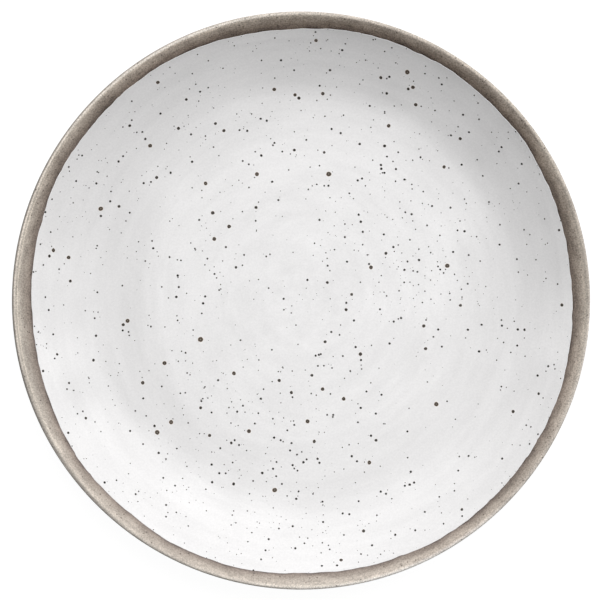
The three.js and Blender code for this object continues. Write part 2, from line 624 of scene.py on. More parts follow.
@dataclass(frozen=True, kw_only=True)
class Finish:
    """A fired surface: what it is, how rough it is and how strongly it shines."""

    name: str
    roughness: float
    shine: float

    def started(self) -> tuple[bpy.types.Material, Adder]:
        """Starts the material.

        Returns:
            The material, and what adds a node to its tree.
        """
        made = bpy.data.materials.new(self.name)
        made.use_nodes = True
        shader = made.node_tree.nodes["Principled BSDF"]
        shader.inputs["Roughness"].default_value = self.roughness
        shader.inputs["Specular IOR Level"].default_value = self.shine
        return made, partial(add_node, made.node_tree)

    def coloured(self, made: bpy.types.Material, colour: Socket) -> bpy.types.Material:
        """Links the colour to the material's shader."""
        made.node_tree.links.new(colour, made.node_tree.nodes["Principled BSDF"].inputs["Base Color"])
        return made

    def embossed(self, made: bpy.types.Material, relief: Socket, height: float) -> None:
        """Links a relief to the material's shader.

        Args:
            made: the material.
            relief: the relief, from 0 to 1.
            height: its height in millimetres.
        """
        bump = add_node(made.node_tree, "ShaderNodeBump",
                        {"Strength": 1.0, "Distance": height * MM, "Height": relief})
        made.node_tree.links.new(bump, made.node_tree.nodes["Principled BSDF"].inputs["Normal"])


# Light sinks into a satin glaze and comes back soft, so the eye sees an even milky white without mirror
# images. The white is greyer in some places and whiter in others: greyer in a broad ring round the foot of
# the wall and up the wall, greyer or whiter near the glaze line and in soft patches, and painted shade
# greys the side that the lamp lights most. The fine mottle of the real glaze is too small to show in the
# render and is drawn 0.7 mm across.
@dataclass(frozen=True, kw_only=True)
class SatinWhiteGlaze(Finish):
    """Satin white stoneware glaze, poured and fired, with faint streaks round the wheel's centre."""

    name: str = "satin_white_stoneware_glaze"
    roughness: float = 0.66
    shine: float = 0.3
    white: str = "#e9e8e8"
    thin: str = "#dad9d9"
    streaks: Mottle = Mottle(4.2, 0.165, 3.0, 0.6)
    streaks_round: float = 2.6
    clouds: Mottle = Mottle(30.0, 0.09)
    fine: Mottle = Mottle(0.7, 0.2, 3.0, 0.6)
    peel: Mottle = Mottle(1.6, 0.006)
    wheel_centre: tuple[float, float] = (3.5, 0.0)

    def material(self) -> bpy.types.Material:
        """Builds the glaze.

        Returns:
            The material. The thin attribute greys it.
        """
        made, add = self.started()
        place = add("ShaderNodeTexCoord", None, "Object")
        centre = (-self.wheel_centre[0] * MM, -self.wheel_centre[1] * MM, 0)
        centred = add("ShaderNodeMapping", {"Vector": place, "Location": centre})
        bent, _ = round_place(add, centred, self.streaks.size, self.streaks_round)
        tone = 1 - (self.streaks.amount + self.clouds.amount + self.fine.amount) / 2
        for where, scale, mottle in ((bent, 1.0, self.streaks), (place, self.clouds.scale, self.clouds),
                                     (place, self.fine.scale, self.fine)):
            noise = add("ShaderNodeTexNoise", {"Vector": where, "Scale": scale, "Detail": mottle.layers,
                                               "Roughness": mottle.gain}, "Fac")
            tone = add("ShaderNodeMath", {0: noise, 1: mottle.amount, 2: tone}, operation="MULTIPLY_ADD")
        # The greying is partly painted shade on the side that the lamp lights most.
        thin = add("ShaderNodeAttribute", None, "Fac", attribute_name=Attribute.THIN.value)
        shown = add("ShaderNodeMix", {0: thin, 6: linear(self.white), 7: linear(self.thin)}, 2,
                    data_type="RGBA", clamp_factor=False)
        mottled = add("ShaderNodeVectorMath", {0: shown, "Scale": tone}, operation="SCALE")
        peel = add("ShaderNodeTexNoise", {"Vector": place, "Scale": self.peel.scale}, "Fac")
        self.embossed(made, peel, self.peel.amount)
        return self.coloured(made, mottled)


# Unglazed clay is dry and sandy, so the eye sees no gloss, only grain and a darker toast beside the glaze.
# Painted shade darkens the clay on the side away from the lamp and painted light lightens the side towards
# it. Along the left of the lip run two painted highlight lines, with painted shade at the outermost edge,
# and the crest has painted highlights and painted shade among lighter and darker blotches. The crest is
# greyer, most under its lighter patches. The sand of the real clay is too fine to show in the render and
# is drawn
# 0.55 mm across.
@dataclass(frozen=True, kw_only=True)
class BareStoneware(Finish):
    """Bare stoneware, turned and fired, with painted light and shade. Its toast goes by the millimetres
    from the glaze.
    """

    rim_radius: float
    name: str = "bare_toasted_stoneware"
    roughness: float = 0.75
    shine: float = 0.25
    toast: tuple[tuple[float, str], ...] = (
        (0.0, "#5a4f49"), (0.42, "#796d65"), (1.62, "#8f8379"), (3.48, "#a89d92"), (4.56, "#b4a99e"),
        (5.64, "#c4baae"))
    toast_reach: float = 6.0
    toast_swing: float = 2.15
    painted_shade_cast: tuple[float, float, float] = (0.17, 0.207, 0.245)
    # Painted highlight lines, with painted shade along the outermost edge: tone by millimetres in from the
    # rim.
    wiped: tuple[tuple[float, float], ...] = (
        (0.3, 0.6), (0.6, 0.68), (0.8, 1.15), (1.03, 1.5), (1.25, 1.1), (1.6, 0.93), (1.8, 1.0),
        (2.03, 1.45), (2.25, 1.05), (2.6, 1.0))
    highlight_lines_reach: float = 3.0
    blotch_length: float = 8.0
    blotch: Mottle = Mottle(1.9, 0.9, 4.0, 0.65)
    blotch_lean: float = 0.3
    sand: Mottle = Mottle(0.55, 1.6)
    tooth_height: float = 0.03
    grit_colour: str = "#443b34"
    grit_spacing: float = 2.5
    grit_radii: tuple[float, float] = (0.375, 0.2)
    grit_share: float = 0.75

    def material(self) -> bpy.types.Material:
        """Builds the clay.

        Returns:
            The material. The bare attribute is the distance from the glaze in millimetres.
        """
        made, add = self.started()
        place = add("ShaderNodeTexCoord", None, "Object")
        told = {}
        for attribute in (Attribute.SIDE, Attribute.BARE, Attribute.WIPED, Attribute.RUBBED,
                          Attribute.PALED):
            told[attribute] = add("ShaderNodeAttribute", None, "Fac", attribute_name=attribute.value)
        side = told[Attribute.SIDE]

        bent, reach = round_place(add, place, self.blotch.size, self.rim_radius / self.blotch_length)
        blotch = add("ShaderNodeTexNoise", {"Vector": bent, "Scale": 1.0, "Detail": self.blotch.layers,
                                            "Roughness": self.blotch.gain}, "Fac")
        sand = add("ShaderNodeTexNoise", {"Vector": place, "Scale": self.sand.scale}, "Fac")
        # The mottle is stronger where the painted shade darkens the clay.
        uneven = add("ShaderNodeMath", {0: side, 1: self.blotch_lean, 2: 1.0}, operation="MULTIPLY_ADD")
        centred = add("ShaderNodeMath", {0: blotch, 1: 0.5}, operation="SUBTRACT")
        swing = add("ShaderNodeMath", {0: centred, 1: uneven}, operation="MULTIPLY")
        blotched = add("ShaderNodeMath", {0: swing, 1: self.blotch.amount, 2: 1.0},
                       operation="MULTIPLY_ADD")
        sandy = add("ShaderNodeMath", {0: sand, 1: self.sand.amount, 2: -self.sand.amount / 2},
                    operation="MULTIPLY_ADD")
        mottled = add("ShaderNodeMath", {0: sandy, 1: uneven, 2: blotched}, operation="MULTIPLY_ADD")

        swung = add("ShaderNodeMath", {0: swing, 1: self.toast_swing, 2: told[Attribute.BARE]},
                    operation="MULTIPLY_ADD")
        share = add("ShaderNodeMapRange", {"Value": swung, "From Max": self.toast_reach})
        toast = add("ShaderNodeValToRGB", {0: share})
        set_stops(toast.node, {off / self.toast_reach: colour for off, colour in self.toast})
        grit = add("ShaderNodeTexVoronoi", {"Vector": place, "Scale": 1 / (self.grit_spacing * MM)},
                   "Distance")
        edge, heart = [radius / self.grit_spacing for radius in self.grit_radii]
        grains = add("ShaderNodeMapRange", {"Value": grit, "From Min": edge, "From Max": heart,
                                            "To Max": self.grit_share})
        gritty = add("ShaderNodeMix", {0: grains, 6: toast, 7: linear(self.grit_colour)}, 2,
                     data_type="RGBA")
        # Painted shade: darker and warmer on the side away from the lamp. Painted light: lighter on the
        # side towards it.
        cast = add("ShaderNodeVectorMath", {0: self.painted_shade_cast, "Scale": side}, operation="SCALE")
        sided = add("ShaderNodeVectorMath", {0: (1, 1, 1), 1: cast}, operation="SUBTRACT")
        toned = add("ShaderNodeVectorMath", {0: gritty, 1: sided}, operation="MULTIPLY")

        # Painted highlight lines along the left of the lip, with painted shade at its outermost edge.
        inset = add("ShaderNodeMapRange", {"Value": reach, "From Min": self.rim_radius * MM,
                                           "From Max": (self.rim_radius - self.highlight_lines_reach) * MM})
        line = add("ShaderNodeFloatCurve", {"Value": inset})
        set_curve(line.node, {off / self.highlight_lines_reach: tone for off, tone in self.wiped})
        lined = add("ShaderNodeMix", {0: told[Attribute.WIPED], 2: 1.0, 3: line}, data_type="FLOAT")
        # Painted highlights and painted shade at the crest, and lighter and darker blotches further in.
        worn = add("ShaderNodeMath", {0: lined, 1: told[Attribute.RUBBED], 2: lined},
                   operation="MULTIPLY_ADD")
        tone = add("ShaderNodeMath", {0: worn, 1: mottled}, operation="MULTIPLY")
        fired = add("ShaderNodeVectorMath", {0: toned, "Scale": tone}, operation="SCALE")
        # The crest is greyer, most under its lighter patches.
        left = add("ShaderNodeMath", {0: 1.0, 1: told[Attribute.PALED]}, operation="SUBTRACT")
        greyed = add("ShaderNodeHueSaturation", {"Saturation": left, "Color": fired})
        self.embossed(made, sand, self.tooth_height)
        return self.coloured(made, greyed)


# Iron melts out of the clay into the glaze, so the eye sees dots: near black in the middle, the broad ones
# with an ashen heart and a rusty edge, then a pale halo that fades into the white.
@dataclass(frozen=True, kw_only=True)
class IronSpeck(Finish):
    """Iron grains melted into the glaze. Places run from 0 in a speck's middle to 1 at its edge."""

    name: str = "melted_iron_specks"
    roughness: float = 0.6
    shine: float = 0.3
    black: str = "#161412"
    brown: str = "#40372f"
    ash: str = "#8c8276"
    edge: tuple[tuple[float, str], ...] = (
        (0.77, "#40372f"), (0.86, "#75604f"), (0.94, "#eadccd"), (1.0, "#ebeae9"))
    edge_start: tuple[float, float] = (0.71, 0.86)
    heart_start: tuple[float, float] = (0.34, 0.08)

    def material(self) -> bpy.types.Material:
        """Builds the specks' finish.

        Returns:
            The material. It reads a place's bleed, and each speck's tone and warmth.
        """
        made, add = self.started()
        told = {}
        for attribute in (Attribute.BLEED, Attribute.TONE, Attribute.WARMTH):
            told[attribute] = add("ShaderNodeAttribute", None, "Fac", attribute_name=attribute.value)
        bleed, tone, warmth = told.values()
        body = add("ShaderNodeMix", {0: tone, 6: linear(self.black), 7: linear(self.brown)}, 2,
                   data_type="RGBA")
        centre = add("ShaderNodeMapRange", {"Value": bleed, "From Min": self.heart_start[0],
                                            "From Max": self.heart_start[1], "To Max": tone})
        burnt = add("ShaderNodeMix", {0: centre, 6: body, 7: linear(self.ash)}, 2, data_type="RGBA")
        edge = add("ShaderNodeValToRGB", {0: bleed})
        set_stops(edge.node, dict(self.edge))
        spread = add("ShaderNodeMapRange", {"Value": bleed, "From Min": self.edge_start[0],
                                            "From Max": self.edge_start[1]})
        shown = add("ShaderNodeMix", {0: spread, 6: burnt, 7: edge}, 2, data_type="RGBA")
        warmed = add("ShaderNodeHueSaturation", {"Saturation": warmth, "Color": shown})
        return self.coloured(made, warmed)


@dataclass(frozen=True)
class PhotoView:
    """The photograph's view: straight down through a long lens. Pixels count from the top left."""

    image_side: float = 600.0
    centre_across: float = 301.0
    centre_down: float = 300.5
    outline_pixels: float = 578.6
    height: float = 1800.0
    sensor: float = 36.0

    def pixel(self, profile: PlateProfile) -> float:
        """Width of a pixel at the height of the rim, in millimetres."""
        return 2 * profile.rim_radius / self.outline_pixels

    def on_face(self, across: float, down: float, profile: PlateProfile) -> tuple[float, float]:
        """Where a pixel lies on the plate.

        Args:
            across: pixels from the left.
            down: pixels from the top.
            profile: the plate's section.

        Returns:
            X and Y in millimetres.
        """
        size = self.pixel(profile)
        seen = math.hypot(across - self.centre_across, down - self.centre_down) * size
        depth = profile.face(profile.lip_start)[0] - profile.face(seen)[0]
        spread = size * (1 + depth / self.height)
        return (across - self.centre_across) * spread, (self.centre_down - down) * spread

    def camera(self, profile: PlateProfile, crest: float) -> bpy.types.Object:
        """Makes the camera.

        Args:
            profile: the plate's section.
            crest: height of the rim in millimetres.

        Returns:
            The camera object.
        """
        size = self.pixel(profile)
        data = bpy.data.cameras.new("straight_down")
        data.sensor_width = self.sensor
        data.lens = self.sensor * self.height / (self.image_side * size)
        made = linked_object("straight_down", data)
        middle = self.image_side / 2
        aside = Vector(((middle - self.centre_across) * size, (self.centre_down - middle) * size, 0))
        made.location = (aside + Vector((0, 0, crest + self.height))) * MM
        return made


# Specks that the eye finds first, as pixels across and down, read from the enlarged photograph.
# Each list goes over the plate by quarters: upper left, upper right, lower left and lower right.
LANDMARKS = {
    SpeckSize.LARGE: (
        (100, 209), (257, 174),
        (408, 72), (329, 174), (447, 266),
        (128, 321), (201, 339), (171, 422), (157, 432), (275, 490),
        (436, 404),
    ),
    SpeckSize.BROAD: (
        (158, 82), (274, 89), (295, 95), (150, 146), (206, 183), (213, 213), (229, 227), (214, 239),
        (53, 250), (68, 257),
        (316, 40), (413, 87), (323, 93), (416, 104), (389, 126), (444, 167), (371, 267),
        (165, 363), (234, 373), (143, 383), (249, 431), (210, 435),
        (562, 305), (426, 349), (360, 354), (323, 389), (344, 399), (308, 421), (369, 463), (341, 561),
    ),
    SpeckSize.MEDIUM: (
        (299, 98), (186, 99), (215, 123), (129, 125), (178, 128), (224, 131), (294, 150), (261, 156),
        (157, 177), (119, 206), (256, 207), (49, 256), (70, 281),
        (381, 77), (408, 89), (387, 93), (460, 138), (385, 146), (386, 253), (327, 283), (352, 294),
        (123, 325), (93, 360), (279, 380), (291, 393), (201, 408), (85, 418), (154, 426), (231, 443),
        (234, 484),
        (460, 305), (346, 310), (424, 326), (325, 342), (312, 375), (539, 394), (514, 412), (376, 440),
        (314, 441), (462, 510), (364, 531),
    ),
    SpeckSize.SMALL: (
        (247, 131), (145, 139), (101, 216), (226, 247), (236, 267), (176, 297),
        (330, 70), (360, 144), (324, 152), (381, 165), (381, 169), (451, 208), (361, 222), (500, 245),
        (404, 270),
        (96, 336), (57, 354), (69, 383), (130, 431), (290, 450), (262, 473),
        (394, 322), (468, 330), (525, 330), (390, 344), (361, 408), (318, 459), (320, 463), (414, 483),
        (410, 485), (395, 535),
    ),
}


@dataclass(frozen=True)
class FacePatch:
    """A soft round patch of the face, by place and reach in millimetres, and what it adds there."""

    x: float
    y: float
    reach: float
    share: float

    def spread(self, places: np.ndarray) -> np.ndarray:
        """What the patch adds at each place in millimetres."""
        off = np.hypot(places[:, 0] - self.x, places[:, 1] - self.y)
        return self.share * np.exp(-(off / self.reach) ** 2)


@dataclass(frozen=True)
class LipPatch:
    """A stretch of the rim that is lighter or darker: at the crest a painted highlight or painted shade,
    further in a blotch.

    Turn and spread are degrees round the rim, inset and width millimetres in from it.
    """

    turn: float
    spread: float
    inset: float
    width: float
    share: float

    def tone(self, turns: np.ndarray, insets: np.ndarray) -> np.ndarray:
        """What the patch adds to the tone at each place."""
        off = (turns - self.turn + 180) % 360 - 180
        return self.share * np.exp(-(off / self.spread) ** 2 - ((insets - self.inset) / self.width) ** 2)


# Where the glaze has more specks than usual, or fewer: x, y, reach and share.
SPECK_DRIFTS = [FacePatch(*row) for row in (
    (53, -40, 32, -0.9), (40, 14, 14, 1.4), (-20, -62, 25, 1.4), (-90, 0, 24, -0.6), (92, 8, 22, -0.5),
)]
# Where the glaze is greyer, and where it is whiter: x, y, reach and share.
GLAZE_PATCHES = [FacePatch(*row) for row in (
    (96, -17, 10, -0.5), (96, 15, 9, 0.4), (-97, 14, 7, -0.4), (-91, -21, 8, -0.3), (-83, -33, 7, 0.4),
    (-55, -52, 9, -0.35), (-37, -66, 11, -0.4), (-14, -75, 11, -0.35), (56, 26, 10, -0.3),
    (34, 56, 9, -0.2), (-48, 41, 9, -0.4), (41, -18, 11, 0.35), (27, -3, 7, -0.3), (4, 20, 6, -0.4),
    (-8, -2, 6, -0.3), (-8, -28, 8, -0.15), (41, -69, 7, -0.33), (55, -61, 8, -0.33),
    (-78, -49, 7, -0.35), (-82, -4, 9, 0.33), (34, 78, 8, 0.42), (67, 56, 8, 0.4), (92, 31, 8, 0.4),
)]
# Stretches of the lip that are lighter or darker, painted highlights and painted shade at the crest and
# blotches
# further in: turn, spread, inset, width and share.
LIP_PATCHES = [LipPatch(*row) for row in (
    (113, 30, 1.05, 0.65, 0.55), (112, 30, 3.0, 2.5, 0.12), (130, 26, 0.25, 0.4, -0.5),
    (208, 24, 0.85, 0.6, -0.38), (182, 18, 2.6, 1.8, -0.15), (289, 21, 0.5, 0.65, 0.6),
    (6, 22, 0.95, 0.6, -0.22), (350, 14, 0.2, 0.3, 0.3), (18, 8, 5.0, 1.6, -0.2),
    (30, 8, 3.0, 1.5, 0.16), (101, 9, 4.0, 1.8, -0.17), (126, 7, 3.4, 1.3, 0.18),
    (138, 7, 4.4, 1.1, -0.2), (138, 20, 0.9, 0.35, 0.15), (155, 22, 0.45, 0.25, -0.15),
    (198, 7, 3.5, 2.6, -0.2), (222, 18, 0.95, 0.4, -0.18), (305, 9, 1.8, 1.7, 0.2),
    (318, 7, 3.8, 1.6, -0.22), (342, 8, 2.7, 1.4, 0.24),
)]


@dataclass
class ClayBody:
    """The turned clay: floor, flared wall, rolled lip and foot ring in one piece."""

    profile: PlateProfile
    inside_line: GlazeLine
    outside_line: GlazeLine
    base_edge: float
    finish: BareStoneware
    name: str = "stoneware_body"
    mark_pitch: float = 1.3
    mark_depth: float = 0.012
    mark_sink: float = 2.0
    # Where the painted highlight lines run round the lip.
    highlight_lines_turn: float = math.radians(176)
    highlight_lines_spread: float = math.radians(30)
    marked_fade: float = 0.8
    # Painted shade on the side away from the lamp and painted light on the side towards it, weaker on the
    # outer lip.
    painted_shade_turn: float = math.radians(70)
    painted_shade_insets: tuple[float, float] = (1.5, 4.0)
    painted_shade_lip: float = 0.45
    paled_insets: tuple[float, float] = (0.6, 1.7)
    paled_crest: float = 0.14
    paled_lighter_patches: float = 0.6
    covered_steps: int = 36
    band_margin: float = 2.0
    band_steps: int = 22
    crest_steps: int = 20
    heel_steps: int = 8
    underside_steps: int = 19
    corner_steps: int = 6

    def section(self) -> np.ndarray:
        """The section from the middle of the face, over the lip and round the foot, to the axis.

        Returns:
            Radius and height of each point.
        """
        shape = self.profile
        band_start = self.inside_line.mean - self.band_margin
        face = np.concatenate([
            np.linspace(0, band_start, self.covered_steps, endpoint=False),
            np.linspace(band_start, shape.lip_start, self.band_steps, endpoint=False),
        ])
        underside = np.linspace(shape.heel_start, shape.outside_glaze_start, self.underside_steps)[1:]
        return np.concatenate([
            shape.over(face, 0), shape.crest(self.crest_steps), shape.heel(self.heel_steps),
            shape.under(underside, 0), shape.foot(self.corner_steps), [[0, shape.recess_depth]],
        ])

    def turning_tree(self) -> bpy.types.NodeTree:
        """The rule of the potter's wheel: one section, turned, with a fine spiral of turning marks.

        Returns:
            A geometry tree that turns a section's points round the axis.
        """
        tree, add, given = new_tree("turned_clay", {
            "Section": "Geometry", "Points": "Int", "Steps": "Int", "Mark Pitch": "Float",
            "Mark Depth": "Float", "Material": "Material"})
        last = add("ShaderNodeMath", {0: given["Points"], 1: 1}, operation="SUBTRACT")
        rows = add("ShaderNodeMath", {0: given["Steps"], 1: 1}, operation="ADD")
        grid = add("GeometryNodeMeshGrid", {"Size X": last, "Size Y": TURN,
                                            "Vertices X": given["Points"], "Vertices Y": rows})
        place = add("GeometryNodeInputPosition")
        parts = add("ShaderNodeSeparateXYZ", {0: place}).node.outputs
        column = add("ShaderNodeMath", {0: last, 1: 0.5, 2: parts["X"]}, operation="MULTIPLY_ADD")
        nearest = add("ShaderNodeMath", {0: column}, operation="ROUND")
        angle = add("ShaderNodeMath", {0: parts["Y"], 1: math.pi}, operation="ADD")
        sources = [(place, "FLOAT_VECTOR")]
        for attribute, kind in ((Attribute.SQUARE, "FLOAT_VECTOR"), (Attribute.RUN, "FLOAT"),
                                (Attribute.MARKED, "FLOAT")):
            told = add("GeometryNodeInputNamedAttribute", {"Name": attribute.value}, data_type=kind)
            sources.append((told, kind))
        read = []
        for told, kind in sources:
            read.append(add("GeometryNodeSampleIndex",
                            {"Geometry": given["Section"], "Value": told, "Index": nearest},
                            data_type=kind, domain="POINT"))
        point, square, run, shown = read
        turns = add("ShaderNodeMath", {0: run, 1: given["Mark Pitch"]}, operation="DIVIDE")
        phase = add("ShaderNodeMath", {0: turns, 1: TURN, 2: angle}, operation="MULTIPLY_ADD")
        wave = add("ShaderNodeMath", {0: phase}, operation="COSINE")
        # The marks only cut inwards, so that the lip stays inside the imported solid.
        dip = add("ShaderNodeMath", {0: wave, 1: self.mark_sink}, operation="SUBTRACT")
        cut = add("ShaderNodeMath", {0: dip, 1: given["Mark Depth"]}, operation="MULTIPLY")
        kept = add("ShaderNodeMath", {0: cut, 1: shown}, operation="MULTIPLY")
        mark = add("ShaderNodeVectorMath", {0: square, "Scale": kept}, operation="SCALE")
        marked = add("ShaderNodeVectorMath", {0: point, 1: mark}, operation="ADD")
        spun = add("ShaderNodeVectorRotate", {"Vector": marked, "Angle": angle}, rotation_type="Z_AXIS")
        stored = add("GeometryNodeStoreNamedAttribute",
                     {"Geometry": grid, "Name": Attribute.RUN.value, "Value": run},
                     data_type="FLOAT", domain="POINT")
        turned = add("GeometryNodeSetPosition", {"Geometry": stored, "Position": spun})
        end_tree(add, turned, given["Material"])
        return tree

    def bare_reach(self, angle: np.ndarray, run: np.ndarray, section: np.ndarray,
                   runs: np.ndarray) -> np.ndarray:
        """Distance of each vertex from the nearest coat, along the clay.

        Args:
            angle: each vertex's angle.
            run: each vertex's distance along the section.
            section: the section's points.
            runs: distance along the section at each point.

        Returns:
            Millimetres, below zero under a coat.
        """
        crest = int(np.argmax(section[:, 0]))
        bottom = int(np.argmin(section[:, 1]))
        upper = slice(0, crest + 1)
        outwards, outward_runs = section[crest:bottom, 0][::-1], runs[crest:bottom][::-1]
        inside = np.interp(self.inside_line.radius(angle), section[upper, 0], runs[upper])
        outer = self.profile.under(self.outside_line.radius(angle), 0)[:, 0]
        outside = np.interp(outer, outwards, outward_runs)
        start = self.profile.under(self.profile.outside_glaze_start, 0)[0]
        foot_start = np.interp(start, outwards, outward_runs)
        foot_end = runs[-1] - self.base_edge
        lip = np.minimum(run - inside, outside - run)
        foot = np.minimum(run - foot_start, foot_end - run)
        return np.maximum(lip, foot)

    def mark(self, mesh: bpy.types.Mesh, section: np.ndarray, runs: np.ndarray) -> None:
        """Writes the distance from the glaze, the painted shade by the lamp's side, the painted highlight
        lines and the lip's painted light and blotches.

        Args:
            mesh: the turned mesh, with its run attribute in metres.
            section: the section's points.
            runs: distance along the section at each point.
        """
        places = vertex_rows(mesh, "co") / MM
        angle = np.arctan2(places[:, 1], places[:, 0])
        run = read_values(mesh, Attribute.RUN) / MM
        write_values(mesh, Attribute.BARE, self.bare_reach(angle, run, section, runs))
        # The marks of the face side fade below the widest point of the lip.
        beyond = run - runs[int(np.argmax(section[:, 0]))]
        topside = np.clip(1 - beyond / self.marked_fade, 0, 1)
        # Painted highlight lines on the left of the lip.
        off = (angle - self.highlight_lines_turn + math.pi) % TURN - math.pi
        write_values(mesh, Attribute.WIPED, topside * np.exp(-(off / self.highlight_lines_spread) ** 4))
        inset = self.profile.rim_radius - np.hypot(places[:, 0], places[:, 1])
        # Painted shade on the side away from the lamp and painted light on the side towards it, weaker on
        # the outer lip.
        toast = np.interp(inset, self.painted_shade_insets, (self.painted_shade_lip, 1))
        write_values(mesh, Attribute.SIDE, toast * np.cos(angle - self.painted_shade_turn))
        # Painted highlights and painted shade at the crest, and lighter and darker blotches further in.
        rubbed = sum(patch.tone(np.degrees(angle), inset) for patch in LIP_PATCHES)
        write_values(mesh, Attribute.RUBBED, topside * rubbed)
        # The crest is greyer, most under its lighter patches.
        paled = self.paled_crest + self.paled_lighter_patches * np.maximum(rubbed, 0)
        crest = np.interp(inset, self.paled_insets, (1, 0))
        write_values(mesh, Attribute.PALED, topside * crest * paled)

    def build(self) -> bpy.types.Object:
        """Turns the clay and dresses it.

        Returns:
            The clay's object.
        """
        no_length = 1e-9
        section = self.section()
        steps = np.linalg.norm(np.diff(section, axis=0), axis=1)
        runs = np.concatenate([[0], np.cumsum(steps)])
        along = np.gradient(section, axis=0)
        along /= np.maximum(np.linalg.norm(along, axis=1, keepdims=True), no_length)
        flat = np.zeros(len(section))
        bench = bpy.data.meshes.new("clay_section")
        points = np.stack([section[:, 0], flat, section[:, 1]], -1) * MM
        bench.from_pydata(points.tolist(), [], [])
        write_values(bench, Attribute.RUN, runs * MM)
        write_values(bench, Attribute.SQUARE, np.stack([-along[:, 1], flat, along[:, 0]], -1))
        write_values(bench, Attribute.MARKED, (section[:, 0] > self.inside_line.mean) * 1.0)
        guide = linked_object("clay_section", bench)
        mesh = grown_mesh(guide, self.turning_tree(), {
            "Points": len(section), "Steps": ANGLE_STEPS, "Mark Pitch": self.mark_pitch * MM,
            "Mark Depth": self.mark_depth * MM, "Material": self.finish.material()})
        bpy.data.objects.remove(guide)
        mesh.name = self.name
        close_shell(mesh)
        self.mark(mesh, section, runs)
        return linked_object(self.name, mesh)


@dataclass(kw_only=True)
class PouredCoat:
    """A coat of glaze on the clay: an even skin that ends in a rounded nose, sunk a hair into the clay."""

    profile: PlateProfile
    material: bpy.types.Material
    name: str
    thickness: float = 0.35
    sink: float = 0.03
    edge_run: float = 0.9
    nose_steps: int = 6

    def nose(self, edge: np.ndarray, full: Numbers) -> tuple[np.ndarray, np.ndarray]:
        """The rounded edge of the coat.

        Args:
            edge: radius of the edge by angle step.
            full: thickness where the nose starts.

        Returns:
            Radii, and distances from the clay.
        """
        sweep = np.linspace(0, math.pi / 2, self.nose_steps + 1)[None, 1:]
        return edge + self.edge_run * (np.sin(sweep) - 1), (full + self.sink) * np.cos(sweep) - self.sink

    def poured(self, stretches: list[np.ndarray], ring: bool) -> bpy.types.Object:
        """Turns the coat's section into its object.

        Args:
            stretches: radius and height by angle step and point, one array for each stretch.
            ring: whether the last point joins the first.

        Returns:
            The coat's object.
        """
        mesh = turned_mesh(self.name, np.concatenate(stretches, axis=1), ring)
        mesh.materials.append(self.material)
        self.mark(mesh)
        return linked_object(self.name, mesh)

    def mark(self, mesh: bpy.types.Mesh) -> None:
        """Writes which side of the coat shows. Each coat has its own rule."""
        raise NotImplementedError


